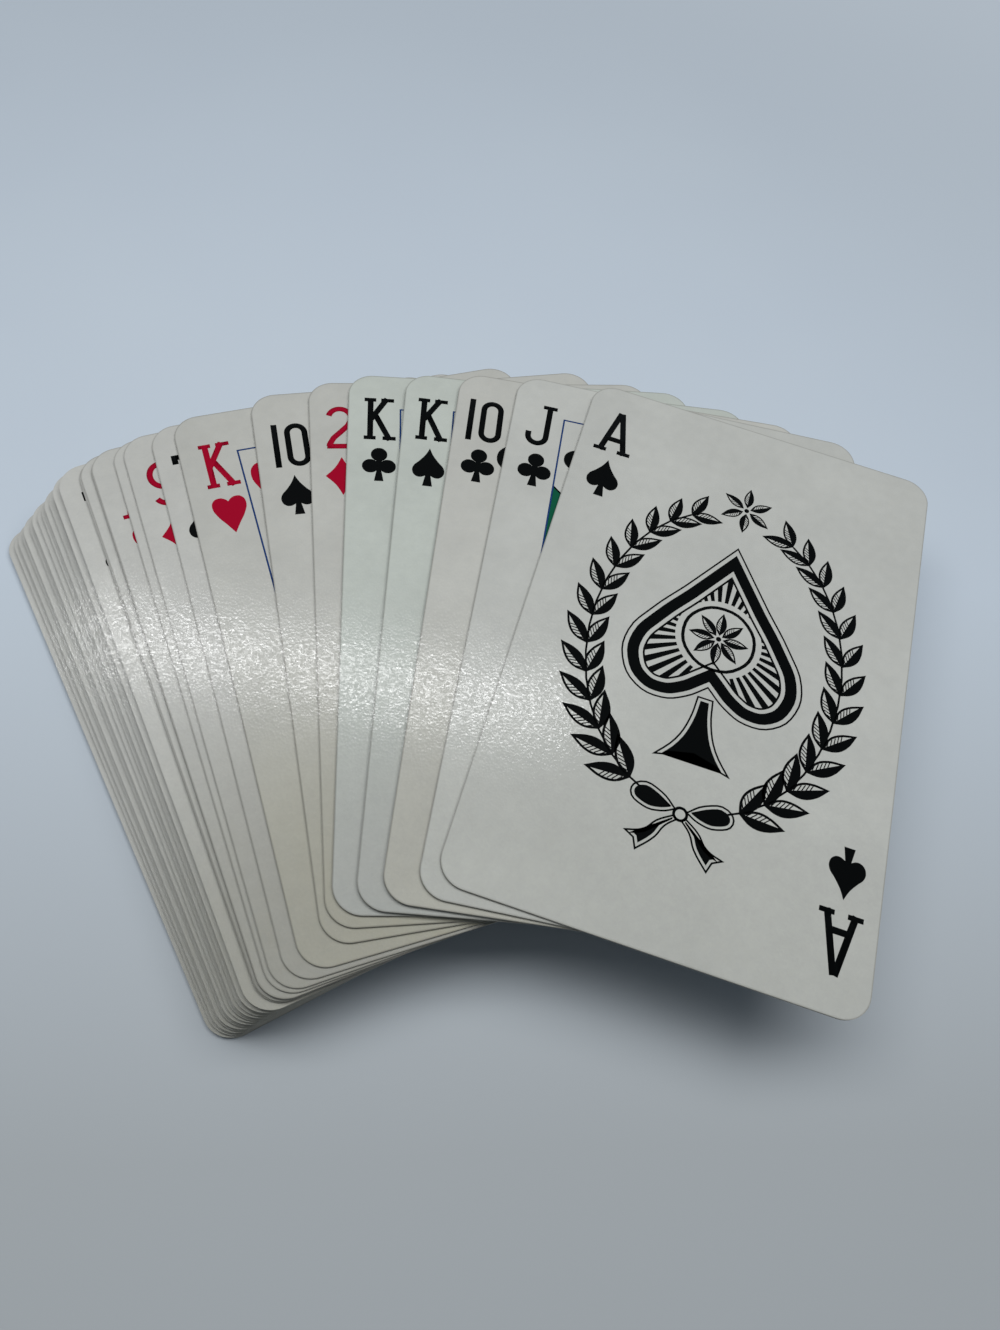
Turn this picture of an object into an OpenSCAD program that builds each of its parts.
// A pack of fifty-two playing cards, fanned face up on a table.
// The bottom card lies along the axes with the centre of its underside at the origin.
// Every card above it has slid a little and turned clockwise about the pivot of the fan,
// which lies outside the cards, where the hand that spread them was.

/* [Card] */
// Width of a card, across its short edge
card_w = 57; // [50:0.5:66]
// Length of a card, along its long edge
card_l = 89; // [80:0.5:100]
// Thickness of the pasted card stock
card_t = 0.31; // [0.2:0.01:0.4]
// Radius of the punched corners
corner_r = 4; // [1:0.25:8]

/* [Pack] */
// Air between a card and the one that it lies on, in a worn pack that is loosely spread
air_gap = 0.06; // [0.01:0.01:0.1]

/* [Fan] */
// Distance of the pivot below the bottom card's near short edge
pivot_below = 35.5; // [10:0.5:60]
// Distance of the pivot to the left of the bottom card's centre line
pivot_left = 7; // [-20:0.5:20]
// Turn of the top packet of the tight pile, in degrees
pile_turn = 3.4; // [0.5:0.1:8]
// Slide to the right of the top packet of the tight pile
pile_slide = 3.7; // [0:0.1:8]
// Slide of the top packet towards the pivot
pile_drop = 2; // [0:0.1:5]
// Uneven turn of single cards within the pile, in degrees
pile_jitter = 0.05; // [0:0.01:0.2]

/* [Hidden] */
$fn = 64;

suits = ["spades", "hearts", "clubs", "diamonds"];
ranks = [
    "ace", "two", "three", "four", "five", "six", "seven",
    "eight", "nine", "ten", "jack", "queen", "king"
];

// The cards that the fan spreads, from the lowest to the top one, as the hand left them: name,
// turn in degrees, then slide to the right, rise along the card and more air under it, in millimetres
fanned = [
    ["three_of_hearts", 4.6, 4.3, -2.0, 0],
    ["ace_of_clubs", 4.7, 4.4, -2.0, 0],
    ["eight_of_diamonds", 5.6, 4.2, -2.2, 0],
    ["ace_of_hearts", 5.7, 4.2, -2.2, 0],
    ["jack_of_spades", 7.4, 4.2, -2.3, 0],
    ["nine_of_diamonds", 8.1, 4.4, -2.2, 0],
    ["seven_of_spades", 10.0, 5.0, -2.1, 0],
    ["king_of_hearts", 11.1, 6.4, -1.6, 0],
    ["ten_of_spades", 17.5, 5.5, -0.7, 0.05],
    ["two_of_diamonds", 23.4, 2.4, -0.4, 0.05],
    ["king_of_clubs", 27.3, 0.7, -0.1, 0.1],
    ["king_of_spades", 31.6, 0.9, -0.9, 0.3],
    ["ten_of_clubs", 35.4, 1.6, -1.0, 0.3],
    ["jack_of_clubs", 38.9, 3.7, -0.7, 0.1],
    ["ace_of_spades", 46.0, 1.1, -0.7, 0.1]
];

// The card that tops the tight pile
pile_top = "seven_of_clubs";

// Cards in each packet of the pile, from the table up: a packet moves as one when the pack is spread
packets = [3, 2, 1, 2, 2, 3, 2, 1, 3, 2, 2, 1, 3, 2, 1, 4, 3];

// Angle between the uneven turns of neighbouring cards, so that no two line up
jitter_step = 137.5;

spread_names = concat([pile_top], [for (card = fanned) card[0]]);
function is_spread(name) = len([for (other = spread_names) if (other == name) other]) > 0;

// Every other card of the pack, suit by suit, then riffled once: one card from each half in turn
other_names = [
    for (suit = suits, rank = ranks)
        let (name = str(rank, "_of_", suit))
        if (!is_spread(name)) name
];
half = ceil(len(other_names) / 2);
pile_names = [
    for (i = [0 : half - 1])
        for (k = [i, i + half])
            if (k < len(other_names)) other_names[k]
];

NODES = concat(pile_names, spread_names);

pile_count = len(NODES) - len(fanned);
pitch = card_t + air_gap;
pivot = [-pivot_left, -card_l / 2 - pivot_below];

// First card of the packet that pile card i belongs to: the thicker a packet, the further the next one has moved
function packet_start(i, k = 0, first = 0) =
    i < first + packets[k] ? first : packet_start(i, k + 1, first + packets[k]);

function pile_angle(i) =
    pile_turn * packet_start(i) / packet_start(pile_count - 1) + pile_jitter * sin(jitter_step * i);

// Turn, slide and rise of card i, counted from the table
function throw(i) =
    i >= pile_count ? [for (k = [1 : 3]) fanned[i - pile_count][k]]
    : [pile_turn, pile_slide, -pile_drop] * pile_angle(i) / pile_turn;

// Extra air under card i, added up from the table
function lift(i) = i < pile_count ? 0 : lift(i - 1) + fanned[i - pile_count][4];

module card_outline() {
    for (x = [-1, 1], y = [-1, 1])
        translate([x * (card_w / 2 - corner_r), y * (card_l / 2 - corner_r)])
            circle(r = corner_r);
    square([card_w, card_l - 2 * corner_r], center = true);
    square([card_w - 2 * corner_r, card_l], center = true);
}

module card(i) {
    turn = throw(i)[0];
    slide = [throw(i)[1], throw(i)[2]];
    color("ivory")
        translate([pivot.x, pivot.y, i * pitch + lift(i)])
            rotate(-turn)
                translate(slide - pivot)
                    linear_extrude(card_t)
                        card_outline();
}

for (i = [0 : len(NODES) - 1])
    card(i);
